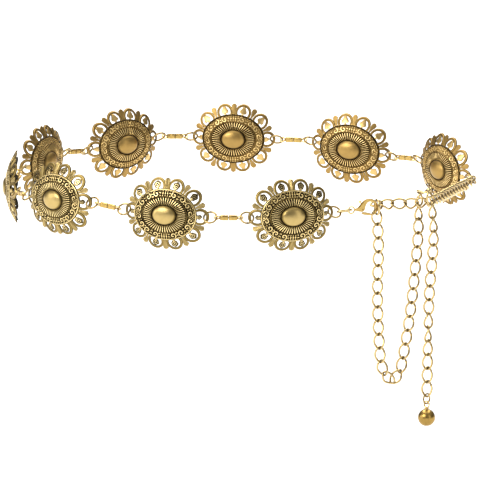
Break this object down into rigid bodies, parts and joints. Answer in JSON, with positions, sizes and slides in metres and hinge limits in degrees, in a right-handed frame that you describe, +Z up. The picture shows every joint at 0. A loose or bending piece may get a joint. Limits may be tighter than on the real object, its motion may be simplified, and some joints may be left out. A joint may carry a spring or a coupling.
{
  "type": "concho chain belt",
  "caption": "Metal concho belt in its worn loop: oval cast medallions on bar links and rings, a lobster clasp on a curb chain, and a draped chain tail with a ball drop.",
  "frame": {"origin": "middle of the loop that the belt makes round a waist, at the height of the medallions' middles", "axes": "+Z up along the wearer's body, -Y the wearer's front, +X the wearer's left, where the chain and its tail are"},
  "size_m": [0.331, 0.3055, 0.1846],
  "materials": {
    "medallion": "cast antique gold, dark patina in the recesses, worn bright on the rims and the boss",
    "polished": "smooth polished antique gold",
    "wire": "plated wire links, antique gold"
  },
  "bodies": {
    "belt": {"bar_link_01": "polished", "bar_link_02": "polished", "bar_link_03": "polished", "bar_link_04": "polished", "bar_link_05": "polished", "bar_link_06": "polished", "bar_link_07": "polished", "bar_link_08": "polished", "chain_back": "wire", "chain_front": "wire", "clasp_body": "polished", "clasp_gate": "polished", "clasp_link": "wire", "end_ring": "wire", "hooked_link": "wire", "medallion_01": "medallion", "medallion_02": "medallion", "medallion_03": "medallion", "medallion_04": "medallion", "medallion_05": "medallion", "medallion_06": "medallion", "medallion_07": "medallion", "medallion_08": "medallion", "medallion_09": "medallion", "ring_01_end": "wire", "ring_01_start": "wire", "ring_02_end": "wire", "ring_02_start": "wire", "ring_03_end": "wire", "ring_03_start": "wire", "ring_04_end": "wire", "ring_04_start": "wire", "ring_05_end": "wire", "ring_05_start": "wire", "ring_06_end": "wire", "ring_06_start": "wire", "ring_07_end": "wire", "ring_07_start": "wire", "ring_08_end": "wire", "ring_08_start": "wire", "ring_chain": "wire", "ring_clasp": "wire", "tail_drape": "wire", "tail_left": "wire", "tail_middle": "wire", "tail_right": "wire", "tail_turn": "wire"},
    "ball_drop": {"ball_drop": "polished"}
  },
  "joints": [
    {"name": "ball_drop_swing", "type": "hinge", "parent": "belt", "child": "ball_drop", "pos_m": [0.1268, -0.094, -0.14067], "axis": [0.6428, 0.766, 0], "range_deg": [-60, 60]}
  ]
}
